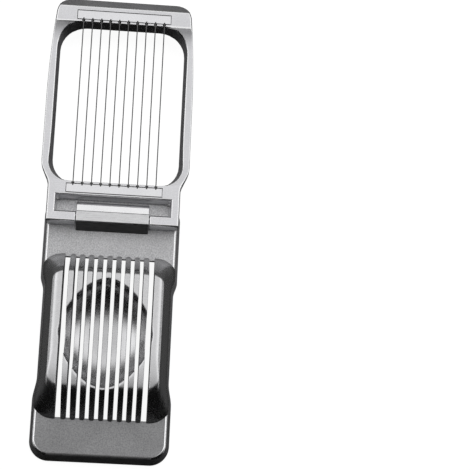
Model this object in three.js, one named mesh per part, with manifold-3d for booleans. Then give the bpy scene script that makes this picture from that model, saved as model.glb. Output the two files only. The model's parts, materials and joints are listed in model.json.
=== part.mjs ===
// Egg slicer with a hinged wire harp, laid open: the base stands on its feet and the lid lies
// level behind it. Millimetres, +Z up, +Y towards the lid's free end, +X to the right.
// The origin is under the middle of the open slicer, on the surface it stands on.
import * as THREE from 'three';
import { mergeVertices } from 'three/addons/utils/BufferGeometryUtils.js';
import Module from 'manifold-3d';

const wasm = await Module();
wasm.setup();

// ---- driving dimensions ----
// Every y below is measured from the hinge pin's axis.
const PIN_Y = 2.6;
const PIN_Z = 18.1;
const PIN_RADIUS = 2;
const PIN_HALF_LENGTH = 36.2;
const GAP = 0.3;

const SLAT_PITCH = 5;
const SLAT_COUNT = 9;
const SLAT_WIDTH = 2.95;
const WIRE_PITCH = 5.05;
const WIRE_COUNT = 10;
const WIRE_RADIUS = 0.3;

const BASE_BOTTOM = 0.9;
const PLATE_TOP = 13;
const PLATE_THICKNESS = 3;
const BASE_FRONT = -130.7;
const BASE_REAR = 11.8;
const BASE_HALF_WIDTH = 36.1;
const BASE_DRAFT = 1.6;
const BASE_EDGE_ROUND = 1.9;
const FRONT_CORNER = 9;
const REAR_CORNER = 8;
const WAIST = { front: -87, frontBlend: 13, rear: -39, rearBlend: 8, depth: 1.8 };
const BASE_INSIDE = { top: PLATE_TOP - PLATE_THICKNESS, side: 31.5, front: -125.5, rear: 7.4 };

const CRADLE_TOP = 34;
const CRADLE_FOOT = { front: -111.2, rear: -20.1, cornerX: 11.2, cornerY: 7.6 };
const CRADLE_CREST = { front: -96.1, rear: -33.3, cornerX: 3.6, cornerY: 3.6, halfWidth: 29.7 };
const CREST_FALL = { from: -75, to: -101, bend: 0.0055 };
const CHEEK_INSIDE = 24.4;
const SLOT_FRONT = -110.1;
const SLOT_REAR = -21.6;
const TIP_FRONT = -111.4;
const TIP_REAR = -19.9;
const CAVITY = { y: -67.3, halfWidth: 26.3, halfLength: 30.6, depth: 17.5, power: 1.7 };

const KNUCKLE_HALF_WIDTH = 19.9;
const KNUCKLE = { front: -6.8, crestFront: -3.8, crestRear: 1.8, rear: 9.2, top: 22.6 };
const KNUCKLE_BACK = [[5.6, 21.8], [7.2, 20.4], [8.3, 18.2], [8.9, 15.9]];
const TAIL_RELIEF_RADIUS = 6.6;

const FOOT = { radius: 4.5, stemRadius: 2.2, stemTop: 6, padTop: 0.6, x: 27, front: -121, rear: 0.5 };
const FOOT_BOSS_RADIUS = 5.2;

const LID_FACE = 22.5;
const LID_BACK = 13.6;
const LID_TAIL = -4.2;
const LID_END = 127.1;
const LID_BEVEL = { start: 121.6, drop: 4 };
const LID_NECK_HALF_WIDTH = 36.4;
const LID_SHOULDER_HALF_WIDTH = 40.8;
const LID_END_HALF_WIDTH = 38.2;
const LID_CORNER = 9;
const RAIL_FACE = 19;
const RAMP_LENGTH = { near: 34, far: 16 };
const OPENING = { near: 18.7, far: 112.4, halfWidth: 37.7, nearCorner: 13, farCorner: 14.5 };
const OPENING_DRAFT = { side: 2.9, end: 1 };
const WINDOW = { near: 1.3, far: 10.7, halfWidth: 31.2, draft: 0.5 };
const TAIL_SLOT_HALF_WIDTH = 20.3;

const CLAMP = { halfLength: 26.2, thickness: 3, channelDepth: 0.9 };
const NEAR_CLAMP = { low: 12.4, high: 17.1, wireSide: 1 };
const FAR_CLAMP = { low: 113.9, high: 118.9, wireSide: -1 };
const NOTCH = { halfWidth: 0.6, depth: 1.1 };
const GROOVE = { halfWidth: 0.85, length: 4 };
const SCREW = { x: 20, headRadius: 2.2, headHeight: 1.5, radius: 1, top: 21 };

// ---- materials ----
function metal(color, roughness) {
  return new THREE.MeshStandardMaterial({ color, roughness, metalness: 1 });
}
const castAluminium = metal(0x9c9b9e, 0.42);
const satinAluminium = metal(0xcfced2, 0.38);
const stainlessSteel = metal(0xb9babd, 0.25);
const blackRubber = new THREE.MeshStandardMaterial({ color: 0x1b1b1d, roughness: 0.85, metalness: 0 });

// ---- solids: closed meshes and the cuts between them ----
function signedVolume(positions, faces) {
  const [a, b, c] = [new THREE.Vector3(), new THREE.Vector3(), new THREE.Vector3()];
  return faces.reduce((sum, [i, j, k]) => {
    a.copy(positions[i]);
    b.copy(positions[j]);
    c.copy(positions[k]);
    return sum + a.dot(b.cross(c)) / 6;
  }, 0);
}

// Triangles across a flat outline, turned the same way round as the outline.
function capFaces(outline) {
  const faces = THREE.ShapeUtils.triangulateShape(outline, []);
  return THREE.ShapeUtils.isClockWise(outline) ? faces.map(([i, j, k]) => [k, j, i]) : faces;
}

// Skins a stack of rings, each with the same number of points, and closes both ends.
function loft(rings, flatten = (p) => new THREE.Vector2(p.x, p.y)) {
  const count = rings[0].length;
  const positions = rings.flat();
  const faces = [];
  for (let ring = 0; ring < rings.length - 1; ring += 1) {
    for (let i = 0; i < count; i += 1) {
      const next = (i + 1) % count;
      const low = ring * count;
      const high = low + count;
      faces.push([low + i, low + next, high + next], [low + i, high + next, high + i]);
    }
  }
  const last = (rings.length - 1) * count;
  faces.push(...capFaces(rings[0].map(flatten)).map(([i, j, k]) => [k, j, i]));
  faces.push(...capFaces(rings.at(-1).map(flatten)).map((face) => face.map((i) => last + i)));
  const outward = signedVolume(positions, faces) > 0;
  const geometry = new THREE.BufferGeometry().setFromPoints(positions);
  geometry.setIndex((outward ? faces : faces.map(([i, j, k]) => [k, j, i])).flat());
  return geometry;
}

function solid(geometry) {
  const bare = geometry.clone();
  bare.deleteAttribute('normal');
  bare.deleteAttribute('uv');
  const merged = mergeVertices(bare, 1e-4);
  return new wasm.Manifold(new wasm.Mesh({
    numProp: 3,
    vertProperties: new Float32Array(merged.attributes.position.array),
    triVerts: new Uint32Array(merged.index.array),
  }));
}

function geometryOf(body) {
  const { vertProperties, triVerts, numProp } = body.getMesh();
  const geometry = new THREE.BufferGeometry();
  geometry.setAttribute('position', new THREE.BufferAttribute(vertProperties, numProp));
  geometry.setIndex(new THREE.BufferAttribute(triVerts, 1));
  geometry.computeVertexNormals();
  return geometry;
}

function block(xs, ys, zs) {
  const geometry = new THREE.BoxGeometry(xs[1] - xs[0], ys[1] - ys[0], zs[1] - zs[0]);
  geometry.translate((xs[0] + xs[1]) / 2, (ys[0] + ys[1]) / 2, (zs[0] + zs[1]) / 2);
  return solid(geometry);
}

function post(x, y, radius, bottom, top, sides = 24) {
  const geometry = new THREE.CylinderGeometry(radius, radius, top - bottom, sides);
  geometry.rotateX(Math.PI / 2).translate(x, y, (bottom + top) / 2);
  return solid(geometry);
}

function rod(y, z, radius, halfLength, sides = 24) {
  const geometry = new THREE.CylinderGeometry(radius, radius, 2 * halfLength, sides);
  geometry.rotateZ(Math.PI / 2).translate(0, y, z);
  return solid(geometry);
}

// A bar along X whose section is a list of (y, z) points.
function bar(section, halfLength) {
  const ends = [-halfLength, halfLength];
  const rings = ends.map((x) => section.map(([y, z]) => new THREE.Vector3(x, y, z)));
  return solid(loft(rings, (p) => new THREE.Vector2(p.y, p.z)));
}

function named(name, geometry, material) {
  const mesh = new THREE.Mesh(geometry, material);
  mesh.name = name;
  return mesh;
}

// ---- outlines: half of a symmetric plan shape, from its front to its rear ----
function cornerArc(centre, radii, startAngle, steps = 8) {
  const arc = [];
  for (let i = 0; i <= steps; i += 1) {
    const angle = startAngle + (Math.PI / 2) * (i / steps);
    arc.push([centre[0] + radii[0] * Math.cos(angle), centre[1] + radii[1] * Math.sin(angle)]);
  }
  return arc;
}

function mirrored(half, z) {
  const right = half.map(([x, y]) => new THREE.Vector3(x, y, z));
  const left = half.toReversed().map(([x, y]) => new THREE.Vector3(-x, y, z));
  return [...right, ...left];
}

function roundedHalf(halfWidth, front, rear, frontCorner, rearCorner, sidePoints = []) {
  const [fx, fy] = frontCorner;
  const [rx, ry] = rearCorner;
  return [
    ...cornerArc([halfWidth - fx, front + fy], [fx, fy], -Math.PI / 2),
    ...sidePoints,
    ...cornerArc([halfWidth - rx, rear - ry], [rx, ry], 0),
  ];
}

// ---- base casting ----
function waist(y) {
  const into = THREE.MathUtils.smoothstep(y, WAIST.front - WAIST.frontBlend, WAIST.front);
  const outOf = THREE.MathUtils.smoothstep(y, WAIST.rear, WAIST.rear + WAIST.rearBlend);
  return WAIST.depth * (into - outOf);
}

function waistPoints(halfWidth) {
  const shares = [0, 0.2, 0.4, 0.6, 0.8, 1];
  const ys = [
    ...shares.map((share) => WAIST.front - WAIST.frontBlend * (1 - share)),
    ...shares.map((share) => WAIST.rear + WAIST.rearBlend * share),
  ];
  return ys.map((y) => [halfWidth - waist(y), y]);
}

function plateRing(grow, z) {
  const halfWidth = BASE_HALF_WIDTH + grow;
  const corner = [FRONT_CORNER + grow, REAR_CORNER + grow];
  const half = roundedHalf(halfWidth, BASE_FRONT - grow, BASE_REAR + grow,
    [corner[0], corner[0]], [corner[1], corner[1]], waistPoints(halfWidth));
  return mirrored(half, z);
}

function basePlate() {
  const roundedEdge = [0, 30, 60, 90].map((degrees) => {
    const angle = THREE.MathUtils.degToRad(degrees);
    return plateRing(-BASE_EDGE_ROUND * (1 - Math.cos(angle)),
      PLATE_TOP - BASE_EDGE_ROUND * (1 - Math.sin(angle)));
  });
  return solid(loft([plateRing(BASE_DRAFT, BASE_BOTTOM), ...roundedEdge]));
}

function baseHollow() {
  const { side, front, rear, top } = BASE_INSIDE;
  const half = roundedHalf(side, front, rear, [6, 6], [6, 6]);
  return solid(loft([mirrored(half, BASE_BOTTOM - 1), mirrored(half, top)]));
}

// One level of the cradle's hump: 0 is its foot on the plate, 1 is its crest.
function cradleRing(level, z, inset = 0) {
  const mix = (key) => THREE.MathUtils.lerp(CRADLE_FOOT[key], CRADLE_CREST[key], level);
  const front = mix('front') + inset;
  const rear = mix('rear') - inset;
  const radii = [mix('cornerX'), mix('cornerY')];
  const halfWidthAt = (y) => THREE.MathUtils.lerp(
    BASE_HALF_WIDTH - waist(y) - 0.05, CRADLE_CREST.halfWidth, level) - inset;
  const half = roundedHalf(0, front, rear, radii, radii).map(([x, y]) => [x + halfWidthAt(y), y]);
  const sides = [0.06, 0.12, 0.2, 0.5, 0.78, 0.86, 0.92].map((share) => {
    const y = THREE.MathUtils.lerp(front + radii[1], rear - radii[1], share);
    return [halfWidthAt(y), y];
  });
  half.splice(half.length / 2, 0, ...sides);
  return mirrored(half, z);
}

function cradleHump() {
  const height = CRADLE_TOP - PLATE_TOP;
  const levelZ = (level) => PLATE_TOP + level * height;
  return solid(loft([
    cradleRing(0, PLATE_TOP - BASE_EDGE_ROUND),
    cradleRing(0, PLATE_TOP),
    cradleRing(0.5, levelZ(0.5)),
    cradleRing(0.88, levelZ(0.88)),
    cradleRing(0.95, levelZ(0.95), 0.3),
    cradleRing(0.98, levelZ(0.985), 0.9),
    cradleRing(1, CRADLE_TOP, 1.9),
  ]));
}

// Clears the air over the crest's front part, which curves down towards the front.
function crestFall() {
  const { from, to, bend } = CREST_FALL;
  const steps = 5;
  const curve = Array.from({ length: steps + 1 }, (_, i) => {
    const y = THREE.MathUtils.lerp(from, to, i / steps);
    return [y, CRADLE_TOP - bend * (y - from) ** 2];
  });
  return bar([...curve, [to, CRADLE_TOP + 2], [from, CRADLE_TOP + 2]], BASE_HALF_WIDTH);
}

// The egg's hollow: lens-shaped in plan, elliptical in section.
function eggHollow() {
  const { y, halfWidth, halfLength, depth, power } = CAVITY;
  const points = 48;
  const ring = (scale, z) => {
    const turn = [];
    for (let i = 0; i < points; i += 1) {
      const angle = (2 * Math.PI * i) / points;
      const [c, s] = [Math.cos(angle), Math.sin(angle)];
      const reach = scale / (Math.abs(c) ** power + Math.abs(s) ** power) ** (1 / power);
      turn.push(new THREE.Vector3(halfWidth * reach * c, y + halfLength * reach * s, z));
    }
    return turn;
  };
  const rings = [ring(1.06, CRADLE_TOP + 2)];
  for (let i = 0; i <= 8; i += 1) {
    const angle = (Math.PI / 2) * (i / 8) * 0.985;
    rings.push(ring(Math.cos(angle), CRADLE_TOP - depth * Math.sin(angle)));
  }
  return solid(loft(rings));
}

function slatCentres() {
  return Array.from({ length: SLAT_COUNT }, (_, i) => (i - (SLAT_COUNT - 1) / 2) * SLAT_PITCH);
}

// Slots run through hump and plate between the slats, and between the outer slats and the cheeks.
function wireSlots() {
  const edges = [-CHEEK_INSIDE];
  for (const x of slatCentres()) {
    edges.push(x - SLAT_WIDTH / 2, x + SLAT_WIDTH / 2);
  }
  edges.push(CHEEK_INSIDE);
  const slots = [];
  for (let i = 0; i < edges.length; i += 2) {
    slots.push(block([edges[i], edges[i + 1]], [SLOT_FRONT, SLOT_REAR], [0, CRADLE_TOP + 1]));
  }
  return slots;
}

// Past the slots' ends only the slats' rounded tips are left standing on the plate.
function tipClearance(y0, y1) {
  const radius = SLAT_WIDTH / 2;
  let clear = block([-CHEEK_INSIDE, CHEEK_INSIDE], [y0, y1], [PLATE_TOP, CRADLE_TOP]);
  const tipY = y0 < TIP_FRONT ? TIP_FRONT + radius : TIP_REAR - radius;
  const inner = y0 < TIP_FRONT ? y1 + 1 : y0 - 1;
  const span = [Math.min(tipY, inner), Math.max(tipY, inner)];
  for (const x of slatCentres()) {
    clear = clear.subtract(post(x, tipY, radius, PLATE_TOP - 1, CRADLE_TOP + 1, 16));
    clear = clear.subtract(block([x - radius, x + radius], span, [PLATE_TOP - 1, CRADLE_TOP + 1]));
  }
  return clear;
}

function knuckle() {
  const { front, crestFront, crestRear, rear, top } = KNUCKLE;
  return bar([
    [front, PLATE_TOP - 1], [front, PLATE_TOP], [crestFront - 0.5, top - 0.7], [crestFront, top],
    [crestRear, top], ...KNUCKLE_BACK, [rear, PLATE_TOP], [rear, PLATE_TOP - 1],
  ], KNUCKLE_HALF_WIDTH);
}

function footPlaces() {
  return [[-FOOT.x, FOOT.front], [FOOT.x, FOOT.front], [-FOOT.x, FOOT.rear], [FOOT.x, FOOT.rear]];
}

// A trough under each side of the hinge, where the tails of the lid swing round the pin.
function tailReliefs() {
  const trough = rod(0, PIN_Z, TAIL_RELIEF_RADIUS, BASE_HALF_WIDTH + 5, 48);
  return trough.subtract(block([-KNUCKLE_HALF_WIDTH, KNUCKLE_HALF_WIDTH], [-10, 12], [0, 30]));
}

function baseCasting() {
  const hump = cradleHump().subtract(crestFall());
  let casting = basePlate().subtract(baseHollow()).add(hump);
  for (const [x, y] of footPlaces()) {
    casting = casting.add(post(x, y, FOOT_BOSS_RADIUS, BASE_BOTTOM, PLATE_TOP - 1));
  }
  for (const slot of wireSlots()) {
    casting = casting.subtract(slot);
  }
  casting = casting.subtract(tipClearance(TIP_FRONT - 2, SLOT_FRONT));
  casting = casting.subtract(tipClearance(SLOT_REAR, TIP_REAR + 2));
  casting = casting.subtract(eggHollow()).subtract(tailReliefs()).add(knuckle());
  for (const [x, y] of footPlaces()) {
    casting = casting.subtract(post(x, y, FOOT.stemRadius + GAP, 0, FOOT.stemTop + GAP));
  }
  casting = casting.subtract(rod(0, PIN_Z, PIN_RADIUS + GAP, BASE_HALF_WIDTH));
  return geometryOf(casting);
}

function rubberFoot() {
  const { radius, stemRadius, stemTop, padTop } = FOOT;
  const profile = [[0, 0], [radius - 0.3, 0], [radius, 0.3], [radius, padTop], [stemRadius, padTop],
    [stemRadius, stemTop], [0, stemTop]];
  const geometry = new THREE.LatheGeometry(profile.map(([x, y]) => new THREE.Vector2(x, y)), 24);
  return geometryOf(solid(geometry.rotateX(Math.PI / 2)));
}

// ---- lid ----
function lidRing(grow, z) {
  const shoulderBlend = { from: 16, to: 30 };
  const halfWidthAt = (y) => {
    const shoulder = THREE.MathUtils.smoothstep(y, shoulderBlend.from, shoulderBlend.to);
    const taper = THREE.MathUtils.clamp((y - 60) / (116 - 60), 0, 1) ** 2.4;
    return LID_NECK_HALF_WIDTH + (LID_SHOULDER_HALF_WIDTH - LID_NECK_HALF_WIDTH) * shoulder
      - (LID_SHOULDER_HALF_WIDTH - LID_END_HALF_WIDTH) * taper + grow;
  };
  const ys = [LID_TAIL - grow, 10, 16, 18, 20, 23, 26, 28, 30, 45, 60, 75, 88, 98, 106, 112];
  const half = ys.map((y) => [halfWidthAt(y), y]);
  const end = LID_END + grow;
  const cornerY = LID_CORNER + 1.5;
  half.push(...cornerArc([halfWidthAt(116) - LID_CORNER, end - cornerY], [LID_CORNER, cornerY], 0, 8));
  return mirrored(half, z);
}

function lidSlab() {
  return solid(loft([
    lidRing(-1.4, LID_BACK),
    lidRing(-0.4, LID_BACK + 0.5),
    lidRing(0, LID_BACK + 1.6),
    lidRing(0, LID_FACE - 1),
    lidRing(-0.5, LID_FACE),
  ]));
}

function lidOpening() {
  const { near, far, halfWidth, nearCorner, farCorner } = OPENING;
  const ring = (z) => {
    const share = (z - LID_FACE) / (LID_FACE - LID_BACK);
    const [side, end] = [OPENING_DRAFT.side * share, OPENING_DRAFT.end * share];
    const half = roundedHalf(halfWidth + side, near - end, far + end,
      [nearCorner, nearCorner], [farCorner, farCorner]);
    return mirrored(half, z);
  };
  return solid(loft([ring(LID_BACK - 1), ring(LID_FACE + 1)]));
}

// The rails are thinner than the end blocks: their face dips and rises again in two coves.
function railDip() {
  const steps = 6;
  const drop = LID_FACE - RAIL_FACE;
  const cove = (start, reach) => Array.from({ length: steps + 1 }, (_, i) => {
    const along = i / steps;
    return [start + reach * along, LID_FACE - drop * (1 - (1 - along) ** 2)];
  });
  return bar([
    [OPENING.near, LID_FACE + 1],
    ...cove(OPENING.near, RAMP_LENGTH.near),
    ...cove(OPENING.far, -RAMP_LENGTH.far).reverse(),
    [OPENING.far, LID_FACE + 1],
  ], LID_SHOULDER_HALF_WIDTH + 3);
}

function endBevel() {
  const { start, drop } = LID_BEVEL;
  return bar([
    [start, LID_FACE],
    [LID_END + 2, LID_FACE - drop * (LID_END + 2 - start) / (LID_END - start)],
    [LID_END + 2, LID_FACE + 2],
    [start, LID_FACE + 2],
  ], LID_SHOULDER_HALF_WIDTH + 3);
}

function hingeWindow() {
  const { near, far, halfWidth, draft } = WINDOW;
  const ring = (grow, z) => [
    [halfWidth + 2 * grow, near], [halfWidth + 2 * grow, far + grow],
    [-halfWidth - 2 * grow, far + grow], [-halfWidth - 2 * grow, near],
  ].map(([x, y]) => new THREE.Vector3(x, y, z));
  const window = solid(loft([ring(0, LID_BACK - 1), ring(0, LID_FACE - 2), ring(draft, LID_FACE + 1)]));
  const tailSlot = block([-TAIL_SLOT_HALF_WIDTH, TAIL_SLOT_HALF_WIDTH], [LID_TAIL - 2, near + 1],
    [LID_BACK - 2, LID_FACE + 2]);
  return window.add(tailSlot);
}

function wireXs() {
  return Array.from({ length: WIRE_COUNT }, (_, i) => (i - (WIRE_COUNT - 1) / 2) * WIRE_PITCH);
}

const WIRE_Z = LID_FACE - 0.5;
const CLAMP_BOTTOM = LID_FACE - CLAMP.thickness;
const WIRE_TAIL_Z = CLAMP_BOTTOM - 0.35;

// The pocket that a clamp bar drops into, the channel under it and a groove for each wire.
function clampSeat(clamp) {
  const { low, high, wireSide } = clamp;
  const halfLength = CLAMP.halfLength + GAP;
  let seat = block([-halfLength, halfLength], [low - GAP, high + GAP],
    [CLAMP_BOTTOM - GAP, LID_FACE + 1]);
  const wireEdge = wireSide > 0 ? high : low;
  const channel = [wireEdge + wireSide * GAP, wireEdge - wireSide * 3.4].sort((a, b) => a - b);
  seat = seat.add(block([-halfLength + 1, halfLength - 1], channel,
    [CLAMP_BOTTOM - CLAMP.channelDepth, LID_FACE]));
  for (const x of wireXs()) {
    seat = seat.add(wireGroove(x, wireEdge, wireSide));
  }
  return seat;
}

// A groove narrows from the bar towards the lid's opening.
function wireGroove(x, wireEdge, wireSide) {
  const tip = wireEdge + wireSide * GROOVE.length;
  const ring = (z) => [
    [x - GROOVE.halfWidth, wireEdge], [x + GROOVE.halfWidth, wireEdge],
    [x + NOTCH.halfWidth, tip], [x - NOTCH.halfWidth, tip],
  ].map(([px, py]) => new THREE.Vector3(px, py, z));
  return solid(loft([ring(WIRE_Z - WIRE_RADIUS - GAP), ring(LID_FACE + 1)]));
}

function screwYs() {
  return [NEAR_CLAMP, FAR_CLAMP].map(({ low, high, wireSide }) => (low + high) / 2 - 0.4 * wireSide);
}

function screwHoles() {
  let holes = null;
  for (const y of screwYs()) {
    for (const x of [-SCREW.x, SCREW.x]) {
      const head = post(x, y, SCREW.headRadius + GAP, LID_BACK - 1, LID_BACK + SCREW.headHeight + 2 * GAP);
      const hole = head.add(post(x, y, SCREW.radius + GAP, LID_BACK, CLAMP_BOTTOM + 1, 16));
      holes = holes ? holes.add(hole) : hole;
    }
  }
  return holes;
}

function lidFrame() {
  const frame = lidSlab()
    .subtract(lidOpening())
    .subtract(railDip())
    .subtract(endBevel())
    .subtract(hingeWindow())
    .subtract(clampSeat(NEAR_CLAMP))
    .subtract(clampSeat(FAR_CLAMP))
    .subtract(screwHoles())
    .subtract(rod(0, PIN_Z, PIN_RADIUS + GAP, LID_NECK_HALF_WIDTH + 2));
  return geometryOf(frame);
}

function wireClamp(clamp, screwY) {
  const { low, high, wireSide } = clamp;
  let bar = block([-CLAMP.halfLength, CLAMP.halfLength], [low, high], [CLAMP_BOTTOM, LID_FACE]);
  const wireEdge = wireSide > 0 ? high : low;
  const notch = [wireEdge + wireSide, wireEdge - wireSide * NOTCH.depth].sort((a, b) => a - b);
  for (const x of wireXs()) {
    bar = bar.subtract(block([x - NOTCH.halfWidth, x + NOTCH.halfWidth], notch,
      [CLAMP_BOTTOM - 1, LID_FACE + 1]));
  }
  for (const x of [-SCREW.x, SCREW.x]) {
    bar = bar.subtract(post(x, screwY, SCREW.radius + GAP, CLAMP_BOTTOM - 1, SCREW.top + GAP, 16));
  }
  return geometryOf(bar);
}

function clampScrew() {
  const { headRadius, headHeight, radius, top } = SCREW;
  const bottom = LID_BACK + 0.3;
  const recess = { radius: 0.9, depth: 0.8 };
  const profile = [[0, bottom + recess.depth], [recess.radius, bottom + recess.depth],
    [recess.radius, bottom], [headRadius - 0.2, bottom], [headRadius, bottom + 0.3],
    [headRadius, bottom + headHeight], [radius, bottom + headHeight], [radius, top], [0, top]];
  const geometry = new THREE.LatheGeometry(profile.map(([x, y]) => new THREE.Vector2(x, y)), 16);
  return geometryOf(solid(geometry.rotateX(Math.PI / 2)));
}

// A wire runs level between the bars, drops through a notch in each and ends under it.
function cuttingWire() {
  const nearLeg = NEAR_CLAMP.high - NOTCH.depth / 2;
  const farLeg = FAR_CLAMP.low + NOTCH.depth / 2;
  const path = [
    [nearLeg - 2.2, WIRE_TAIL_Z], [nearLeg, WIRE_TAIL_Z], [nearLeg, WIRE_Z],
    [farLeg, WIRE_Z], [farLeg, WIRE_TAIL_Z], [farLeg + 2.2, WIRE_TAIL_Z],
  ].map(([y, z]) => new THREE.Vector2(y, z));
  const sides = 8;
  const rings = path.map((point, i) => {
    const before = point.clone().sub(path[Math.max(i - 1, 0)]).normalize();
    const after = path[Math.min(i + 1, path.length - 1)].clone().sub(point).normalize();
    const along = before.clone().add(after).normalize();
    const across = new THREE.Vector2(-along.y, along.x);
    const stretch = 1 / Math.max(along.dot(before), along.dot(after));
    return Array.from({ length: sides }, (_, k) => {
      const angle = (2 * Math.PI * k) / sides;
      const offset = across.clone().multiplyScalar(WIRE_RADIUS * stretch * Math.sin(angle));
      return new THREE.Vector3(WIRE_RADIUS * Math.cos(angle), point.x + offset.x, point.y + offset.y);
    });
  });
  return loft(rings, (p) => new THREE.Vector2(p.x, p.z + p.y));
}

// ---- assembly ----
function assembleBase() {
  const base = new THREE.Group();
  base.add(named('base_casting', baseCasting(), castAluminium));
  base.add(named('hinge_pin', geometryOf(rod(0, PIN_Z, PIN_RADIUS, PIN_HALF_LENGTH)), stainlessSteel));
  footPlaces().forEach(([x, y], i) => {
    const foot = named(`rubber_foot_${i + 1}`, rubberFoot(), blackRubber);
    foot.position.set(x, y, 0);
    base.add(foot);
  });
  return base;
}

function assembleLid() {
  const lid = new THREE.Group();
  const [nearScrewY, farScrewY] = screwYs();
  lid.add(named('lid_frame', lidFrame(), satinAluminium));
  lid.add(named('hinge_end_wire_clamp', wireClamp(NEAR_CLAMP, nearScrewY), satinAluminium));
  lid.add(named('free_end_wire_clamp', wireClamp(FAR_CLAMP, farScrewY), satinAluminium));
  let count = 0;
  for (const y of screwYs()) {
    for (const x of [-SCREW.x, SCREW.x]) {
      count += 1;
      const screw = named(`clamp_screw_${count}`, clampScrew(), stainlessSteel);
      screw.position.set(x, y, 0);
      lid.add(screw);
    }
  }
  wireXs().forEach((x, i) => {
    const wire = named(`cutting_wire_${String(i + 1).padStart(2, '0')}`, cuttingWire(), stainlessSteel);
    wire.position.x = x;
    lid.add(wire);
  });
  return lid;
}

const eggSlicer = new THREE.Group();
eggSlicer.add(assembleBase(), assembleLid());
eggSlicer.position.y = PIN_Y;

export default eggSlicer;
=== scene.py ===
"""Egg slicer, laid open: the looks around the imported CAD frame.

Shapes are worked out in millimetres, with y measured from the hinge's axis, and placed in metres.
"""
import json
import math

import bmesh
import bpy
import numpy as np
from mathutils import Euler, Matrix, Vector


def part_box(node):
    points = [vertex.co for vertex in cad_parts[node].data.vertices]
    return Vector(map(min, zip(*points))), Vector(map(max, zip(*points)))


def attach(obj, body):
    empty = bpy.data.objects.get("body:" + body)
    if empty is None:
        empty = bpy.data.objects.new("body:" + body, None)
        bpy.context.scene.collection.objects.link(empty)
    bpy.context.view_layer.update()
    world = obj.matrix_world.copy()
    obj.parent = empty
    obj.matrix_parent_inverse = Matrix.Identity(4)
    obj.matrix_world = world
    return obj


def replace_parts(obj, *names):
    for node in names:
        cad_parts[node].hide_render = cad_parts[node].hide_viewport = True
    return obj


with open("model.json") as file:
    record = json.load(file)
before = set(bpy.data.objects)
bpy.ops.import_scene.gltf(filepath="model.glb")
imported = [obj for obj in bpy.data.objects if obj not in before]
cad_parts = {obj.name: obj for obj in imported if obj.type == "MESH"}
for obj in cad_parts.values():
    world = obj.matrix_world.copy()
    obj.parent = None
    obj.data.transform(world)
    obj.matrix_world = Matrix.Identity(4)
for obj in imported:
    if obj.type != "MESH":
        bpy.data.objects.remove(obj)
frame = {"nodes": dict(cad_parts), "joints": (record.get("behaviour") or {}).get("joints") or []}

MM = 0.001
PIN = Vector(frame["joints"][0]["pos_m"])
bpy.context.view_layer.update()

# ---- driving dimensions, as on the CAD part ----
SLAT = {"count": 9, "pitch": 5.0, "width": 2.95, "front": -111.4, "rear": -19.9}
SLOT = {"front": -110.1, "rear": -21.6, "side": 24.4}
WIRE = {"count": 10, "pitch": 5.05, "radius": 0.3, "leg": 2.2, "bend": 0.7, "sides": 16}
TOP_EDGE = 0.4  # the rounding along the tops of the slats and cheeks
KNUCKLE_EDGE = 0.5
LID_EDGE = 0.55
CLAMP_EDGE = 0.14
JOIN_GAP = 0.05  # keeps pieces of the one casting from sharing a face

PLATE = {"top": 13.0, "thickness": 3.0, "bottom": 0.9, "draft": 1.6, "round": 1.9,
         "front": -130.7, "rear": 11.8, "side": 36.1, "front_corner": 9.0, "rear_corner": 8.0}
WAIST = {"front": -87.0, "front_blend": 13.0, "rear": -39.0, "rear_blend": 8.0, "depth": 1.8}
INSIDE = {"side": 31.5, "front": -125.5, "rear": 7.4, "corner": 6.0}
FOOT_COUNT = 4
SOCKET = {"boss_radius": 5.2, "hole_radius": 2.5, "hole_clearance": 0.3}

CRADLE_TOP = 34.0
CRADLE_BOTTOM = PLATE["top"] - PLATE["thickness"] + JOIN_GAP
FOOT_RING = {"front": -111.2, "rear": -20.1, "corner_x": 11.2, "corner_y": 7.6}
CREST_RING = {"front": -96.1, "rear": -33.3, "corner_x": 7.0, "corner_y": 6.0, "side": 29.9}
CREST_BLEND = 3.4
CREST_FALL = {"from": -75.0, "bend": 0.0055}
CROWN = {"start": 25.8, "radius": 6.0, "limit": 0.985, "power": 2.5}
RIM_ROLL = {"start": 0.1, "radius": 2.7, "limit": 0.95, "wall": 0.925, "wall_rise": 260.0}
RIM_BLEND = 0.8
CHEEK = {"front_slope": (-102.6, -91.0), "rear_slope": (-39.3, -28.5), "middle": (-90.0, -40.0),
         "front_end": -103.0, "rear_end": -28.0, "flat_side": 28.4, "highest_level": 1.22}
HOLLOW = {"y": -67.3, "half_width": 26.3, "half_length": 30.6, "depth": 17.5, "power": 1.7}

KNUCKLE = {"half_width": 19.9, "front": -6.8, "crest_front": -3.8, "crest_rear": 1.8,
           "rear": 9.2, "top": 22.6}
KNUCKLE_BACK = [(5.6, 21.8), (8.6, 19.6), (9.2, 13.0)]
RELIEF_RADIUS = 6.6
PIN_Z = PIN.z / MM

# Each groove narrows from its clamp bar to the opening's rim; the numbers are y and half-widths.
GROOVES = [{"bar": 113.75, "rim": 112.2, "wide": 1.05, "narrow": 0.32},
           {"bar": 17.25, "rim": 18.3, "wide": 0.8, "narrow": 0.42}]
GROOVE_Z = (14.6, 23.5)
CLAMP_SEATS = {"side": 27.5, "along": [(11.5, 21.5), (108.6, 119.6)], "edge_share": 0.3}
CLAMP_NOTCH = {"half_width": 0.34, "depth": 0.7}
SCREW_COUNT = 4

# ---- the view and the light ----
CAMERA = {"lens": 125.63, "place": (0.00699, -0.23436, 0.88803), "turn": (14.6956, -4.5735, 2.2287)}
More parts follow.
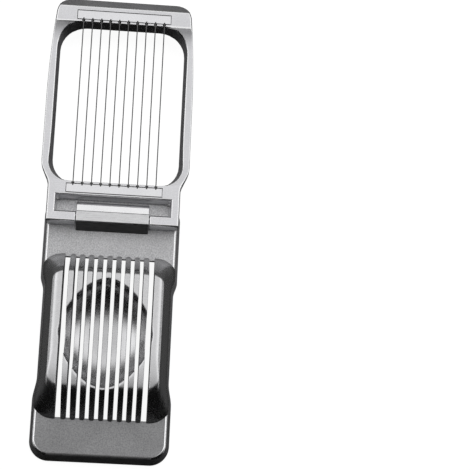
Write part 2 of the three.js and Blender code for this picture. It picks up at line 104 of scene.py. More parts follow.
# The glow comes from all round and depends on the direction. The soft box's edges run from dark to
# bright: front and rear in degrees back from overhead, sides as a direction's share across.
SOFT_BOX = {"front": (-24, -4), "rear": (62, 42), "side": (0.92, 0.72)}
SOFT_BOX_GLOW = {"middle": 0.85, "added": 0.58, "beside": (0.3, 0.85)}
FLANK_GLOW = {"strength": 0.6, "beside": (0.86, 0.95), "above": (-0.03, 0.03)}
DIM_GLOW = {"least": 0.004, "added": 0.055, "behind": (-0.5, 0.1)}
WALL_GLOW = {"added": 0.05, "behind": (0.3, 0.8)}
LAMP = {"size": (0.9, 0.6), "energy": 4.0, "place": (0.1, 0.35, 1.3), "tilt": -15}
FLOOR = {"reach": 3.0, "tone": 0.16, "glow": 0.93}


def material(name, **settings):
    made = bpy.data.materials.new(name)
    made.use_nodes = True
    shader = made.node_tree.nodes["Principled BSDF"]
    for socket, value in settings.items():
        shader.inputs[socket.replace("_", " ")].default_value = value
    return made, made.node_tree, shader


def link(tree, source, target):
    tree.links.new(source, target)


def noise(tree, scale, detail=3.0, stretch=(1.0, 1.0, 1.0)):
    """Noise in the object's own coordinates; scale is in features per metre."""
    nodes = tree.nodes
    place = nodes.new("ShaderNodeTexCoord")
    mapping = nodes.new("ShaderNodeMapping")
    mapping.inputs["Scale"].default_value = stretch
    texture = nodes.new("ShaderNodeTexNoise")
    texture.inputs["Scale"].default_value = scale
    texture.inputs["Detail"].default_value = detail
    link(tree, place.outputs["Object"], mapping.inputs["Vector"])
    link(tree, mapping.outputs["Vector"], texture.inputs["Vector"])
    return texture.outputs["Fac"]


def mapped(tree, value, low, high, start=0.3, stop=0.7):
    node = tree.nodes.new("ShaderNodeMapRange")
    node.inputs["From Min"].default_value = start
    node.inputs["From Max"].default_value = stop
    node.inputs["To Min"].default_value = low
    node.inputs["To Max"].default_value = high
    link(tree, value, node.inputs["Value"])
    return node.outputs["Result"]


def math_node(tree, operation, *values):
    node = tree.nodes.new("ShaderNodeMath")
    node.operation = operation
    for socket, value in zip(node.inputs, values):
        if isinstance(value, (int, float)):
            socket.default_value = value
        else:
            link(tree, value, socket)
    return node.outputs["Value"]


def tint(tree, value, dark, light):
    node = tree.nodes.new("ShaderNodeMix")
    node.data_type = "RGBA"
    node.inputs["A"].default_value = (*dark, 1)
    node.inputs["B"].default_value = (*light, 1)
    link(tree, value, node.inputs["Factor"])
    return node.outputs["Result"]


def bump(tree, height, distance, strength=1.0, under=None):
    node = tree.nodes.new("ShaderNodeBump")
    node.inputs["Distance"].default_value = distance
    node.inputs["Strength"].default_value = strength
    link(tree, height, node.inputs["Height"])
    if under is not None:
        link(tree, under, node.inputs["Normal"])
    return node.outputs["Normal"]


def grained_metal(name, dark, light, roughness, grain, depth, stretch=(1, 1, 1)):
    """Satin metal: fine grain in colour, gloss and relief over slow cloudy changes.

    The grain is in features per metre and the depth of its relief in metres.
    """
    made, tree, shader = material(name, Metallic=1.0)
    spread_of_gloss = 0.04
    fine = noise(tree, grain, 4.0, stretch)
    cloud = noise(tree, 70.0, 2.0)
    colour = tint(tree, mapped(tree, fine, 0.0, 1.0), dark, light)
    link(tree, colour, shader.inputs["Base Color"])
    grainy = mapped(tree, fine, -spread_of_gloss, spread_of_gloss)
    cloudy = mapped(tree, cloud, roughness - spread_of_gloss, roughness + spread_of_gloss)
    link(tree, math_node(tree, "ADD", grainy, cloudy), shader.inputs["Roughness"])
    coarse = bump(tree, cloud, 6 * depth, 0.4)
    link(tree, bump(tree, fine, depth, 1.0, coarse), shader.inputs["Normal"])
    return made


def painted_light_along(made, axis, start, stop, brightness_at_start, brightness_at_stop):
    """Multiplies the colour by painted light and shade: a tone that changes between two places in metres
    along one axis.
    """
    tree = made.node_tree
    shader = tree.nodes["Principled BSDF"]
    colour = shader.inputs["Base Color"].links[0].from_socket
    place = tree.nodes.new("ShaderNodeTexCoord")
    axes = tree.nodes.new("ShaderNodeSeparateXYZ")
    link(tree, place.outputs["Object"], axes.inputs[0])
    tone = mapped(tree, axes.outputs[axis], brightness_at_start, brightness_at_stop, start, stop)
    scaled = tree.nodes.new("ShaderNodeVectorMath")
    scaled.operation = "SCALE"
    link(tree, colour, scaled.inputs[0])
    link(tree, tone, scaled.inputs["Scale"])
    link(tree, scaled.outputs["Vector"], shader.inputs["Base Color"])


PLATE_METAL = grained_metal("plate_satin", (0.42, 0.42, 0.43), (0.74, 0.74, 0.75), 0.58, 1400, 5e-5)
LID_METAL = grained_metal("lid_satin", (0.68, 0.68, 0.70), (0.82, 0.82, 0.84), 0.40, 1700, 2.4e-5)
CLAMP_METAL = grained_metal("clamp_satin", (0.78, 0.78, 0.80), (0.90, 0.90, 0.92), 0.36, 1900, 1.8e-5)
# Painted shade and painted light: the plate is darker towards its front, and lighter behind the hinge's
# axis.
painted_light_along(PLATE_METAL, "Y", PIN.y - 0.100, PIN.y - 0.020, 0.62, 1.08)
painted_light_along(PLATE_METAL, "Y", PIN.y - 0.002, PIN.y + 0.001, 1.0, 1.3)
# Bright edge metal: a painted highlight, for the roundings of the plate's sides, the lid's edges and the
# knuckle's curved back.
PAINTED_HIGHLIGHT_METAL = grained_metal("painted_highlight_edge", (0.88, 0.88, 0.89), (0.97, 0.97, 0.98), 0.24, 1500, 1e-5)
CRADLE_METAL = grained_metal("cradle_smooth", (0.60, 0.60, 0.61), (0.68, 0.68, 0.69), 0.26, 900, 3e-7)
# Painted shade: the cradle is darker at its foot, where it meets the plate.
painted_light_along(CRADLE_METAL, "Z", 0.013, 0.018, 0.45, 1.0)
KNUCKLE_METAL = grained_metal("knuckle_brushed", (0.58, 0.58, 0.59), (0.74, 0.74, 0.75), 0.30, 1600,
                              1.2e-5, (0.12, 1, 1))
# A near-black copy of the knuckle's metal for its front faces: painted shade.
KNUCKLE_PAINTED_SHADE_METAL = grained_metal("knuckle_front_painted_shade", (0.05, 0.05, 0.05), (0.12, 0.12, 0.12), 0.34, 1600,
                                    1.2e-5, (0.12, 1, 1))
WIRE_METAL = grained_metal("drawn_wire", (0.10, 0.10, 0.10), (0.16, 0.16, 0.16), 0.35, 2600, 3e-6,
                           (1, 0.1, 1))
PIN_METAL = grained_metal("turned_steel", (0.55, 0.55, 0.56), (0.68, 0.68, 0.69), 0.26, 2600, 4e-6,
                          (0.1, 1, 1))


def rubber():
    made, tree, shader = material("foot_rubber", Metallic=0.0)
    fine = noise(tree, 1400.0)
    link(tree, tint(tree, fine, (0.014, 0.014, 0.015), (0.03, 0.03, 0.031)), shader.inputs["Base Color"])
    link(tree, mapped(tree, fine, 0.7, 0.9), shader.inputs["Roughness"])
    link(tree, bump(tree, fine, 4e-5), shader.inputs["Normal"])
    return made


RUBBER = rubber()


# ---- meshes ----
def metres(points):
    return np.asarray(points, float) * MM + (0, PIN.y, 0)


def shape(name, points, faces):
    mesh = bpy.data.meshes.new(name)
    mesh.from_pydata(metres(points).tolist(), [], faces)
    obj = bpy.data.objects.new(name, mesh)
    bpy.context.scene.collection.objects.link(obj)
    return obj


def reworked(obj, change):
    """Runs change(bm) on the object's mesh."""
    bm = bmesh.new()
    bm.from_mesh(obj.data)
    change(bm)
    bm.to_mesh(obj.data)
    bm.free()
    return obj


def face_out(bm):
    bmesh.ops.recalc_face_normals(bm, faces=bm.faces)


def skin(name, rings):
    """A closed skin over a stack of closed rings, each with the same number of points."""
    rings = np.asarray(rings, float)
    stations, count = rings.shape[:2]
    faces = [tuple(range(count)), tuple((stations - 1) * count + i for i in range(count))]
    for start in range(0, (stations - 1) * count, count):
        for i in range(count):
            j = (i + 1) % count
            faces.append((start + i, start + j, start + count + j, start + count + i))
    return reworked(shape(name, rings.reshape(-1, 3), faces), face_out)


def lathe(name, profile, centre, axis="z", sides=48):
    """Turns a profile of (radius, along) points round a line through centre."""
    rings = []
    for radius, along in profile:
        turn = [2 * math.pi * i / sides for i in range(sides)]
        circle = [(radius * math.cos(a), radius * math.sin(a), along) for a in turn]
        if axis == "x":
            circle = [(z, x, y) for x, y, z in circle]
        rings.append(np.array(circle) + centre)
    return skin(name, rings)


def block(xs, ys, zs):
    corners = [(xs[0], ys[0]), (xs[1], ys[0]), (xs[1], ys[1]), (xs[0], ys[1])]
    return skin("block", [[(x, y, z) for x, y in corners] for z in zs])


def bake(obj):
    """Turns the object's modifiers into its mesh."""
    bpy.context.view_layer.update()
    graph = bpy.context.evaluated_depsgraph_get()
    mesh = bpy.data.meshes.new_from_object(obj.evaluated_get(graph))
    obj.modifiers.clear()
    obj.data = mesh
    return obj


def boolean(obj, tool, operation):
    """Joins or cuts with a tool, which is used up."""
    modifier = obj.modifiers.new(operation, "BOOLEAN")
    modifier.operation = operation
    modifier.solver = "EXACT"
    modifier.object = tool
    bake(obj)
    bpy.data.objects.remove(tool)
    return obj


def shade(obj, sharp_degrees):
    """Smooth shading that keeps flat faces flat and edges above the angle sharp."""
    obj.data.polygons.foreach_set("use_smooth", [True] * len(obj.data.polygons))
    obj.data.set_sharp_from_angle(angle=math.radians(sharp_degrees))
    weighted = obj.modifiers.new("flat_faces", "WEIGHTED_NORMAL")
    weighted.keep_sharp = True
    weighted.weight = 100
    return obj


def soften(obj, widest, share_at, smooth_degrees=40):
    """Rounds the sharp edges: share_at gives the share of the widest at x, y and z in millimetres.

    The roundings take the object's second material, if it has one; on the lid this is the bright edge
    metal, a painted highlight.
    """
    sharp = math.radians(18)
    same_place = 1e-6
    flat = math.radians(0.8)

    def weigh(bm):
        bmesh.ops.remove_doubles(bm, verts=bm.verts, dist=same_place)
        bmesh.ops.dissolve_limit(bm, angle_limit=flat, verts=bm.verts, edges=bm.edges)
        layer = bm.edges.layers.float.new("bevel_weight_edge")
        for edge in bm.edges:
            if edge.is_manifold and edge.calc_face_angle() > sharp:
                middle = (edge.verts[0].co + edge.verts[1].co) / 2
                edge[layer] = share_at(middle.x / MM, (middle.y - PIN.y) / MM, middle.z / MM)

    reworked(obj, weigh)
    rounding = obj.modifiers.new("rounding", "BEVEL")
    rounding.limit_method = "WEIGHT"
    rounding.width = widest * MM
    rounding.segments = 3
    rounding.use_clamp_overlap = False
    rounding.miter_outer = "MITER_SHARP"
    if len(obj.data.materials) > 1:
        rounding.material = 1
    bake(obj)
    return shade(obj, smooth_degrees)


def finished(obj, name, body, slot, *materials):
    """Names a piece and gives it its materials and body; the slot is not used."""
    obj.name = name
    obj.data.name = name
    for one in materials:
        obj.data.materials.append(one)
    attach(obj, body)
    return obj


def middle_of(low, high):
    return ((low.x + high.x) / 2 / MM, ((low.y + high.y) / 2 - PIN.y) / MM, 0)


def copy_of(node):
    """A new object with a copy of a CAD node's mesh."""
    obj = bpy.data.objects.new(node + "_copy", frame["nodes"][node].data.copy())
    obj.data.materials.clear()
    bpy.context.scene.collection.objects.link(obj)
    return obj


# ---- the base's plan outline ----
def lerp(a, b, share):
    return a + (b - a) * share


def smoothstep(value, low, high):
    t = np.clip((value - low) / (high - low), 0, 1)
    return t * t * (3 - 2 * t)


def waist(y):
    """How far the base's sides step in beside the cradle."""
    into = smoothstep(y, WAIST["front"] - WAIST["front_blend"], WAIST["front"])
    out_of = smoothstep(y, WAIST["rear"], WAIST["rear"] + WAIST["rear_blend"])
    return WAIST["depth"] * (into - out_of)


def arc(centre, radius, start):
    """A quarter turn from an angle in degrees."""
    steps = 14
    angles = [math.radians(start + 90 * i / steps) for i in range(steps + 1)]
    return [(centre[0] + radius * math.cos(a), centre[1] + radius * math.sin(a)) for a in angles]


def mirrored(half, z):
    """A closed ring from its right half."""
    return [(x, y, z) for x, y in half] + [(-x, y, z) for x, y in reversed(half)]


def rounded_half(side, front, rear, front_corner, rear_corner, between=()):
    """The right half of a plan with rounded corners, from the front to the rear."""
    return [*arc((side - front_corner, front + front_corner), front_corner, -90), *between,
            *arc((side - rear_corner, rear - rear_corner), rear_corner, 0)]


def plate_ring(grow, z):
    """The base's outline at one height, grown outwards."""
    side = PLATE["side"] + grow
    front = np.linspace(WAIST["front"] - WAIST["front_blend"], WAIST["front"], 12)
    rear = np.linspace(WAIST["rear"], WAIST["rear"] + WAIST["rear_blend"], 10)
    between = [(side - waist(y), y) for y in [*front, *rear]]
    half = rounded_half(side, PLATE["front"] - grow, PLATE["rear"] + grow,
                        PLATE["front_corner"] + grow, PLATE["rear_corner"] + grow, between)
    return mirrored(half, z)


def foot_socket(plate, number, under):
    """A boss under the plate with a hole for a foot's stem."""
    low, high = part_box(f"rubber_foot_{number}")
    centre = middle_of(low, high)
    profile = [(SOCKET["boss_radius"], PLATE["bottom"] + 0.02), (SOCKET["boss_radius"], under + 1)]
    boolean(plate, lathe("boss", profile, centre), "UNION")
    top = high.z / MM + SOCKET["hole_clearance"]
    profile = [(SOCKET["hole_radius"], 0), (SOCKET["hole_radius"], top)]
    boolean(plate, lathe("stem_hole", profile, centre), "DIFFERENCE")


def tail_trough(plate, side):
    """Room beside the knuckle for a tail of the lid to turn."""
    ends = sorted((side * (KNUCKLE["half_width"] - 0.02), side * (PLATE["side"] + 5)))
    profile = [(RELIEF_RADIUS, end) for end in ends]
    boolean(plate, lathe("trough", profile, (0, 0, PIN_Z), "x", 96), "DIFFERENCE")


def on_rolled_side(face):
    """Whether a face is on the rounding along the plate's sides, which is painted bright as a highlight.
    """
    rolled = 0.45 < face.normal.z < 0.995 and abs(face.normal.x) > 0.05
    return rolled and face.center.z > (PLATE["top"] - PLATE["round"]) * MM


def base_plate():
    radius = PLATE["round"]
    foot_edge = 0.3
    rings = [plate_ring(PLATE["draft"] - foot_edge, PLATE["bottom"]),
             plate_ring(PLATE["draft"] - 0.04, PLATE["bottom"] + foot_edge)]
    for degrees in range(0, 91, 10):
        angle = math.radians(degrees)
        rings.append(plate_ring(-radius * (1 - math.cos(angle)),
                                PLATE["top"] - radius * (1 - math.sin(angle))))
    plate = skin("plate", rings)
    under = PLATE["top"] - PLATE["thickness"]
    half = rounded_half(INSIDE["side"], INSIDE["front"], INSIDE["rear"],
                        INSIDE["corner"], INSIDE["corner"])
    boolean(plate, skin("hollow", [mirrored(half, 0), mirrored(half, under)]), "DIFFERENCE")
    for number in range(1, FOOT_COUNT + 1):
        foot_socket(plate, number, under)
    slots = block((-SLOT["side"], SLOT["side"]), (SLOT["front"], SLOT["rear"]),
                  (under - 5, PLATE["top"] + 7))
    boolean(plate, slots, "DIFFERENCE")
    for side in (-1, 1):
        tail_trough(plate, side)
    shade(plate, 30)
    finished(plate, "base_plate", "base", "cast_aluminium", PLATE_METAL, PAINTED_HIGHLIGHT_METAL)
    # The rounding along the plate's sides takes the bright edge metal: a painted highlight.
    for face in plate.data.polygons:
        face.material_index = int(on_rolled_side(face))
    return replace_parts(plate, "base_casting")


# ---- the cradle ----
def smooth_min(a, b, blend):
    """The smaller of two heights, rounded where they are within the blend of each other."""
    near = np.maximum(blend - np.abs(a - b), 0) / blend
    return np.minimum(a, b) - near * near * blend / 4


def level_at(y):
    """How far up the cradle's end slopes a place is: 0 at the foot, 1 at the crest, and on above it."""
    front = (y - FOOT_RING["front"]) / (CREST_RING["front"] - FOOT_RING["front"])
    rear = (y - FOOT_RING["rear"]) / (CREST_RING["rear"] - FOOT_RING["rear"])
    return np.minimum(front, rear)


def crest_height(y):
    """The crest is level at the rear and curves down towards the front."""
    return CRADLE_TOP - CREST_FALL["bend"] * np.minimum(y - CREST_FALL["from"], 0) ** 2


def hump_height(level, y):
    slope = PLATE["top"] + level * (CRADLE_TOP - PLATE["top"])
    return smooth_min(slope, crest_height(y), CREST_BLEND)


def roll_drop(past, roll):
    """How far a rounded edge has dropped at a distance past its start."""
    past = np.clip(past, 0, roll["limit"] * roll["radius"])
    return roll["radius"] - np.sqrt(roll["radius"] ** 2 - past ** 2)


def crown_drop(x):
    """The cheeks' tops curve down towards the sides."""
    return roll_drop(np.abs(x) - CROWN["start"], CROWN)


def hollow_reach(x, y):
    """Where a place is in the hollow's plan: 0 at its middle, 1 at its rim."""
    power = HOLLOW["power"]
    across = np.abs(x / HOLLOW["half_width"]) ** power
    along = np.abs((y - HOLLOW["y"]) / HOLLOW["half_length"]) ** power
    return (across + along) ** (1 / power)


def hollow_height(reach):
    """A bowl whose wall turns steep just inside the rim."""
    bowl = CRADLE_TOP - HOLLOW["depth"] * np.sqrt(np.maximum(1 - reach * reach, 0))
    return bowl + np.maximum(reach - RIM_ROLL["wall"], 0) * RIM_ROLL["wall_rise"]


def rim_drop(x, y, reach):
    """The hollow's rim rolls over before it falls away."""
    not_zero = 0.3
    beyond = np.hypot(x, y - HOLLOW["y"]) * (1 - 1 / np.maximum(reach, not_zero))
    return roll_drop(RIM_ROLL["start"] - beyond, RIM_ROLL)


def top_height(x, y, level):
    """The top of the cradle: the hump with its crown, and the hollow in it."""
    power = CROWN["power"]
    drop = CRADLE_TOP - hump_height(level, y)
    hump = CRADLE_TOP - (drop ** power + crown_drop(x) ** power) ** (1 / power)
    reach = hollow_reach(x, y)
    return smooth_min(hump - rim_drop(x, y, reach), hollow_height(reach), RIM_BLEND)


def rim_reach(x):
    """How far the hollow's rim is from its middle, along a slat at x."""
    share = 1 - np.abs(x / HOLLOW["half_width"]) ** HOLLOW["power"]
    return HOLLOW["half_length"] * share ** (1 / HOLLOW["power"])


def slat_stations(x):
    """Places along a slat at x, crowded where the hollow's rim crosses it."""
    reach = rim_reach(x)
    radius = SLAT["width"] / 2
    near_rim = np.array([2.0, 1.4, 1.0, 0.75, 0.55, 0.4, 0.28, 0.18, 0.1, 0.04])
    past_rim = 2.3
    inside = reach * np.cos(np.radians(np.linspace(0, 180, 81)))
    tip = radius * (1 - np.cos(np.radians(np.linspace(4, 90, 7))))
    past_tip = radius + 0.1
    front = np.linspace(SLAT["front"] + past_tip, HOLLOW["y"] - reach - past_rim, 34)
    rear = np.linspace(HOLLOW["y"] + reach + past_rim, SLAT["rear"] - past_tip, 34)
    return np.concatenate([SLAT["front"] + tip, front, HOLLOW["y"] - reach - near_rim,
                           HOLLOW["y"] - inside, (HOLLOW["y"] + reach + near_rim)[::-1],
                           rear, SLAT["rear"] - tip[::-1]])


def slat_section():
    """Across a slat's top: offsets as shares of its half-width, and drops at its rounded edges."""
    share = TOP_EDGE / (SLAT["width"] / 2)
    quarter = np.radians([90, 67, 45, 22])
    edge_offsets = 1 - share * (1 - np.sin(quarter))
    edge_drops = TOP_EDGE * (1 - np.cos(quarter))
    flat_offsets = np.linspace(share - 1, 1 - share, 5)
    offsets = np.concatenate([-edge_offsets, flat_offsets, edge_offsets[::-1]])
    drops = np.concatenate([edge_drops, np.zeros(5), edge_drops[::-1]])
    return zip(offsets, drops)


def slat_column(centre, offset, drop):
    """A line of points along a slat's top."""
    radius = SLAT["width"] / 2
    narrowest = 0.05
    lowest = CRADLE_BOTTOM + 0.5
    y = slat_stations(centre + offset * radius)
    into = np.maximum(np.maximum(SLAT["front"] + radius - y, y - SLAT["rear"] + radius), 0)
    x = centre + offset * np.sqrt(np.maximum(radius ** 2 - into ** 2, narrowest ** 2))
    z = np.maximum(top_height(x, y, level_at(y)) - drop, lowest)
    return np.stack([x, y, z], axis=1)


def cradle_slat(number):
    centre = (number - (SLAT["count"] + 1) / 2) * SLAT["pitch"]
    columns = [slat_column(centre, offset, drop) for offset, drop in slat_section()]
    for column, at in ((columns[0], 0), (columns[-1], len(columns) + 1)):
        foot = column.copy()
        foot[:, 2] = CRADLE_BOTTOM
        columns.insert(at, foot)
    slat = skin("slat", np.stack(columns, axis=1))
    shade(slat, 50)
    finished(slat, f"cradle_slat_{number}", "base", "cast_aluminium", CRADLE_METAL)
    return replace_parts(slat, "base_casting")


def ring_side(level, y):
    """Where the cradle's outline at one level crosses y, on the right."""
    def mix(key):
        return lerp(FOOT_RING[key], CREST_RING[key], level)
    side = lerp(PLATE["side"] - waist(y) - JOIN_GAP, CREST_RING["side"], level)
    front = (mix("front") + mix("corner_y") - y) / mix("corner_y")
    rear = (y - mix("rear") + mix("corner_y")) / mix("corner_y")
    into = np.clip(np.maximum(front, rear), 0, 1)
    return side - mix("corner_x") * (1 - np.sqrt(1 - into * into))


def cheek_stations():
    """Places along a cheek, crowded at its ends, on its slopes and beside the hollow."""
    inset = 0.02
    spacing = 0.8
    ends = 1 - np.cos(np.radians(np.linspace(0, 90, 16)))
    beside = np.arange(HOLLOW["y"] - 13, HOLLOW["y"] + 13, 0.45)
    return np.concatenate([
        lerp(FOOT_RING["front"] + inset, CHEEK["front_end"], ends),
        np.linspace(*CHEEK["front_slope"], 30),
        np.linspace(CHEEK["middle"][0], beside[0] - spacing, 10),
        beside,
        np.linspace(beside[-1] + spacing, CHEEK["middle"][1], 14),
        np.linspace(*CHEEK["rear_slope"], 28),
        lerp(FOOT_RING["rear"] - inset, CHEEK["rear_end"], ends[::-1])])


def cheek_ring(y):
    """The right cheek's outline at y, from its inner face over the top and down its flank."""
    inner = SLOT["side"]
    flat = inner + TOP_EDGE
    least = 0.01
    top_level = min(level_at(y), CHEEK["highest_level"])
    shoulder = ring_side(top_level, y)
    near = np.linspace(flat, min(CHEEK["flat_side"], max(shoulder - 0.2, flat + least)), 18)[1:]
    over = np.linspace(near[-1], max(shoulder, near[-1] + least), 5)[1:]
    ring = [(inner, CRADLE_BOTTOM)]
    for angle in np.radians([90, 67, 45, 22, 0]):
        x = inner + TOP_EDGE * (1 - math.sin(angle))
        ring.append((x, top_height(x, y, top_level) - TOP_EDGE * (1 - math.cos(angle))))
    for x in [*near, *over]:
        ring.append((x, top_height(x, y, top_level)))
    for step in np.linspace(0, 1, 27)[1:]:
        level = top_level * (1 - step * step) if top_level > 0 else 0
        x = max(ring_side(level, y), ring[-1][0])
        ring.append((x, top_height(x, y, level)))
    return [*ring, (ring[-1][0], CRADLE_BOTTOM + 0.8)]


def cradle_cheek(side):
    rings = [[(side * x, y, z) for x, z in cheek_ring(y)] for y in cheek_stations()]
    cheek = skin("cheek", rings)
    shade(cheek, 60)
    name = "cradle_cheek_right" if side > 0 else "cradle_cheek_left"
    finished(cheek, name, "base", "cast_aluminium", CRADLE_METAL)
    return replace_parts(cheek, "base_casting")


# ---- the hinge ----
def bend(start, corner, stop, steps):
    """A smooth curve from start to stop, pulled towards the corner."""
    start, corner, stop = (np.array(point, float) for point in (start, corner, stop))
    shares = [i / steps for i in range(steps + 1)]
    return [tuple((1 - t) ** 2 * start + 2 * t * (1 - t) * corner + t * t * stop) for t in shares]


def knuckle_section():
    """The knuckle's outline in y and z: a steep front, a flat crest and a curved back."""
    foot = PLATE["top"] - 1
    front_edge = [(-0.6, -0.9), (-0.3, -0.3), (0.3, 0.0)]
    groove = [(-0.1, 0.0), (0.05, -0.16), (0.3, -0.06)]
    return [(KNUCKLE["front"], foot), (KNUCKLE["front"], PLATE["top"]),
            *[(KNUCKLE["crest_front"] + y, KNUCKLE["top"] + z) for y, z in front_edge],
            *[(KNUCKLE["crest_rear"] + y, KNUCKLE["top"] + z) for y, z in groove],
            *bend(*KNUCKLE_BACK, 14), (KNUCKLE["rear"], foot)]


def knuckle_edge_share(x, y, z):
    """Only the edges round the knuckle's two ends are rounded."""
    at_end = abs(x) > KNUCKLE["half_width"] - 0.01
    return 1.0 if at_end and z > PLATE["top"] else 0.0


def hinge_knuckle():
    ends = (-KNUCKLE["half_width"], KNUCKLE["half_width"])
    knuckle = skin("knuckle", [[(x, y, z) for y, z in knuckle_section()] for x in ends])
    soften(knuckle, KNUCKLE_EDGE, knuckle_edge_share, smooth_degrees=9)
    finished(knuckle, "hinge_knuckle", "base", "cast_aluminium",
             KNUCKLE_METAL, KNUCKLE_PAINTED_SHADE_METAL, PAINTED_HIGHLIGHT_METAL)
    # Painted shade on the front faces (material 1), and a painted highlight on the curved back (material
    # 2).
    front, back = 1, 2
    for face in knuckle.data.polygons:
        if face.normal.y < -0.5:
            face.material_index = front
        elif face.normal.y > 0.15:
            face.material_index = back
    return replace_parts(knuckle, "base_casting")


def hinge_pin():
    low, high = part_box("hinge_pin")
    reach, radius = high.x / MM, (high.z - low.z) / 2 / MM
    profile = [(radius - 0.4, -reach), (radius - 0.12, -reach + 0.08), (radius, -reach + 0.35),
               (radius, reach - 0.35), (radius - 0.12, reach - 0.08), (radius - 0.4, reach)]
    pin = lathe("pin", profile, (0, 0, PIN_Z), "x")
    shade(pin, 40)
    finished(pin, "hinge_pin_turned", "base", "pin_steel", PIN_METAL)
    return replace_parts(pin, "hinge_pin")


def rubber_foot(number):
    node = f"rubber_foot_{number}"
    low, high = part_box(node)
    radius, top = (high.x - low.x) / 2 / MM, high.z / MM
    profile = [(0.9, 0.25), (radius - 1.4, 0.25), (radius - 1.1, 0.0), (radius - 0.35, 0.0),
               (radius - 0.1, 0.08), (radius, 0.26), (radius, 0.5), (radius - 0.15, 0.6),
               (2.2, 0.6), (2.2, top - 0.3), (1.9, top)]
    foot = lathe("foot", profile, middle_of(low, high))
    shade(foot, 40)
    finished(foot, f"rubber_foot_{number}_moulded", "base", "rubber", RUBBER)
    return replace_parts(foot, node)


# ---- the lid ----
def wire_x(number):
    return (number - (WIRE["count"] + 1) / 2) * WIRE["pitch"]


def lid_edge_share(x, y, z):
    """The edges of the clamp bars' seats are sharper than the lid's other edges."""
    beside = any(start < y < stop for start, stop in CLAMP_SEATS["along"])
    return CLAMP_SEATS["edge_share"] if beside and abs(x) < CLAMP_SEATS["side"] else 1.0


def wire_grooves():
    """Wedges that narrow from each clamp bar towards the opening, one for each wire."""
    points = []
    faces = []
    for number in range(1, WIRE["count"] + 1):
        x = wire_x(number)
        for groove in GROOVES:
            plan = [(x - groove["wide"], groove["bar"]), (x + groove["wide"], groove["bar"]),
                    (x + groove["narrow"], groove["rim"]), (x - groove["narrow"], groove["rim"])]
            first = len(points)
            points += [(px, py, z) for z in GROOVE_Z for px, py in plan]
            faces += [range(first, first + 4), range(first + 4, first + 8)]
            faces += [[first + i, first + (i + 1) % 4, first + 4 + (i + 1) % 4, first + 4 + i]
                      for i in range(4)]
    return reworked(shape("grooves", points, faces), face_out)


def lid_frame():
    lid = copy_of("lid_frame")
    lid.data.materials.append(LID_METAL)
    # The second material, which the roundings take, is a painted highlight.
    lid.data.materials.append(PAINTED_HIGHLIGHT_METAL)
    boolean(lid, wire_grooves(), "DIFFERENCE")
    soften(lid, LID_EDGE, lid_edge_share)
    finished(lid, "lid_frame_cast", "lid", "satin_aluminium")
    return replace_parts(lid, "lid_frame")


def wire_clamp(node, wire_side):
    """A bar with a notch for each wire in the edge that faces the opening."""
    low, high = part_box(node)
    ends = (low.x / MM, high.x / MM)
    across = ((low.y - PIN.y) / MM, (high.y - PIN.y) / MM)
    clamp = block(ends, across, (low.z / MM, high.z / MM))
    edge = across[1] if wire_side > 0 else across[0]
    notch = sorted((edge + wire_side, edge - wire_side * CLAMP_NOTCH["depth"]))
    half = CLAMP_NOTCH["half_width"]
    for number in range(1, WIRE["count"] + 1):
        x = wire_x(number)
        tool = block((x - half, x + half), notch, (low.z / MM - 1, high.z / MM + 1))
        boolean(clamp, tool, "DIFFERENCE")
    soften(clamp, CLAMP_EDGE, lambda x, y, z: 1.0)
    finished(clamp, node + "_bar", "lid", "satin_aluminium", CLAMP_METAL)
    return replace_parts(clamp, node)


def clamp_screw(number):
    node = f"clamp_screw_{number}"
    low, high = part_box(node)
    radius, bottom, top = (high.x - low.x) / 2 / MM, low.z / MM, high.z / MM
    profile = [(0.9, bottom + 0.8), (0.9, bottom), (radius - 0.7, bottom + 0.02),
               (radius - 0.25, bottom + 0.15), (radius - 0.05, bottom + 0.45), (radius, bottom + 0.8),
               (radius, bottom + 1.5), (1.0, bottom + 1.5), (1.0, top - 0.2), (0.8, top)]
    screw = lathe("screw", profile, middle_of(low, high))
    shade(screw, 35)
    finished(screw, node + "_turned", "lid", "pin_steel", PIN_METAL)
    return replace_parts(screw, node)


def rounded_path(corners, radius):
    """A path through (y, z) corners, each corner rounded."""
    steps = 6
    path = [np.array(corners[0], float)]
    for before, corner, after in zip(corners, corners[1:], corners[2:]):
        corner = np.array(corner, float)
        back = np.array(before) - corner
        on = np.array(after) - corner
        reach = min(radius, np.linalg.norm(back) / 2, np.linalg.norm(on) / 2)
        start = corner + back / np.linalg.norm(back) * reach
        stop = corner + on / np.linalg.norm(on) * reach
        path += [np.array(point) for point in bend(start, corner, stop, steps)]
    path.append(np.array(corners[-1], float))
    return path


def wire_rings(path, x):
    """Circles square to a path of (y, z) points."""
    radius = WIRE["radius"]
    rings = []
    for i, point in enumerate(path):
        along = path[min(i + 1, len(path) - 1)] - path[max(i - 1, 0)]
        along = along / np.linalg.norm(along)
        across = np.array((-along[1], along[0]))
        ring = []
        for k in range(WIRE["sides"]):
            angle = 2 * math.pi * k / WIRE["sides"]
            y, z = point + across * radius * math.sin(angle)
            ring.append((x + radius * math.cos(angle), y, z))
        rings.append(ring)
    return rings


def cutting_wire(number):
    node = f"cutting_wire_{number:02d}"
    low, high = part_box(node)
    radius, leg = WIRE["radius"], WIRE["leg"]
    start, stop = (low.y - PIN.y) / MM, (high.y - PIN.y) / MM
    top, tail = high.z / MM - radius, low.z / MM + radius
    path = rounded_path([(start, tail), (start + leg, tail), (start + leg, top),
                         (stop - leg, top), (stop - leg, tail), (stop, tail)], WIRE["bend"])
    wire = skin("wire", wire_rings(path, wire_x(number)))
    shade(wire, 60)
    finished(wire, node + "_drawn", "lid", "wire_steel", WIRE_METAL)
    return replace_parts(wire, node)


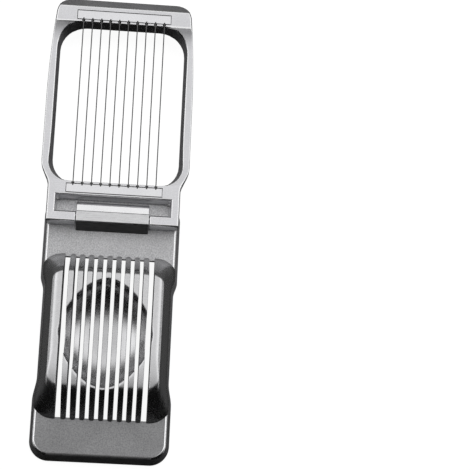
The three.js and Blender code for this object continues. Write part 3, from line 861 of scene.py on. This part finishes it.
# ---- the studio ----
def camera():
    data = bpy.data.cameras.new("camera")
    data.sensor_width = 36
    data.lens = CAMERA["lens"]
    data.clip_start = 0.01
    data.clip_end = 20
    obj = bpy.data.objects.new("camera", data)
    obj.location = CAMERA["place"]
    obj.rotation_euler = Euler([math.radians(a) for a in CAMERA["turn"]])
    bpy.context.scene.collection.objects.link(obj)
    bpy.context.scene.camera = obj


def smooth_range(tree, value, low, high):
    node = tree.nodes.new("ShaderNodeMapRange")
    node.interpolation_type = "SMOOTHSTEP"
    node.inputs["From Min"].default_value = low
    node.inputs["From Max"].default_value = high
    link(tree, value, node.inputs["Value"])
    return node.outputs["Result"]


def studio():
    """A wide soft box overhead that leans to the rear, a glow at each side, and dim all round."""
    world = bpy.data.worlds.new("studio")
    bpy.context.scene.world = world
    world.use_nodes = True
    tree = world.node_tree
    place = tree.nodes.new("ShaderNodeTexCoord")
    axes = tree.nodes.new("ShaderNodeSeparateXYZ")
    link(tree, place.outputs["Generated"], axes.inputs[0])
    x, y, z = axes.outputs
    back = math_node(tree, "ARCTAN2", y, z)
    beside = math_node(tree, "ABSOLUTE", x)
    front_edge = smooth_range(tree, back, *np.radians(SOFT_BOX["front"]))
    rear_edge = smooth_range(tree, back, *np.radians(SOFT_BOX["rear"]))
    side_edge = smooth_range(tree, beside, *SOFT_BOX["side"])
    box = math_node(tree, "MULTIPLY", math_node(tree, "MULTIPLY", front_edge, rear_edge), side_edge)
    lobes = math_node(tree, "MULTIPLY_ADD", smooth_range(tree, beside, *SOFT_BOX_GLOW["beside"]),
                      SOFT_BOX_GLOW["added"], SOFT_BOX_GLOW["middle"])
    overhead = math_node(tree, "MULTIPLY", box, lobes)
    above = smooth_range(tree, z, *FLANK_GLOW["above"])
    flank = math_node(tree, "MULTIPLY", smooth_range(tree, beside, *FLANK_GLOW["beside"]), above)
    flank = math_node(tree, "MULTIPLY", flank, FLANK_GLOW["strength"])
    dim = math_node(tree, "MULTIPLY_ADD", smooth_range(tree, y, *DIM_GLOW["behind"]),
                    DIM_GLOW["added"], DIM_GLOW["least"])
    wall = math_node(tree, "MULTIPLY_ADD", smooth_range(tree, y, *WALL_GLOW["behind"]),
                     WALL_GLOW["added"], dim)
    strength = math_node(tree, "ADD", math_node(tree, "MAXIMUM", overhead, flank), wall)
    background = tree.nodes["Background"]
    background.inputs["Color"].default_value = (1, 1, 1, 1)
    link(tree, strength, background.inputs["Strength"])


def soft_light():
    data = bpy.data.lights.new("overhead", "AREA")
    data.shape = "RECTANGLE"
    data.size, data.size_y = LAMP["size"]
    data.energy = LAMP["energy"]
    obj = bpy.data.objects.new("overhead", data)
    obj.location = LAMP["place"]
    obj.rotation_euler = Euler((math.radians(LAMP["tilt"]), 0, 0))
    obj.visible_glossy = False
    bpy.context.scene.collection.objects.link(obj)


def floor():
    mesh = bpy.data.meshes.new("floor")
    reach = FLOOR["reach"]
    mesh.from_pydata([(-reach, -reach, 0), (reach, -reach, 0), (reach, reach, 0), (-reach, reach, 0)],
                     [], [(0, 1, 2, 3)])
    obj = bpy.data.objects.new("floor", mesh)
    bpy.context.scene.collection.objects.link(obj)
    made, _, shader = material("pale_floor", Roughness=0.9, Emission_Strength=FLOOR["glow"])
    shader.inputs["Base Color"].default_value = (FLOOR["tone"], FLOOR["tone"], FLOOR["tone"], 1)
    shader.inputs["Emission Color"].default_value = (1, 1, 1, 1)
    mesh.materials.append(made)
    obj.visible_glossy = False


camera()
studio()
soft_light()
floor()
bpy.context.scene.view_settings.view_transform = "Standard"

base_plate()
for number in range(1, SLAT["count"] + 1):
    cradle_slat(number)
for side in (-1, 1):
    cradle_cheek(side)
hinge_knuckle()
hinge_pin()
for number in range(1, FOOT_COUNT + 1):
    rubber_foot(number)
lid_frame()
wire_clamp("hinge_end_wire_clamp", 1)
wire_clamp("free_end_wire_clamp", -1)
for number in range(1, SCREW_COUNT + 1):
    clamp_screw(number)
for number in range(1, WIRE["count"] + 1):
    cutting_wire(number)
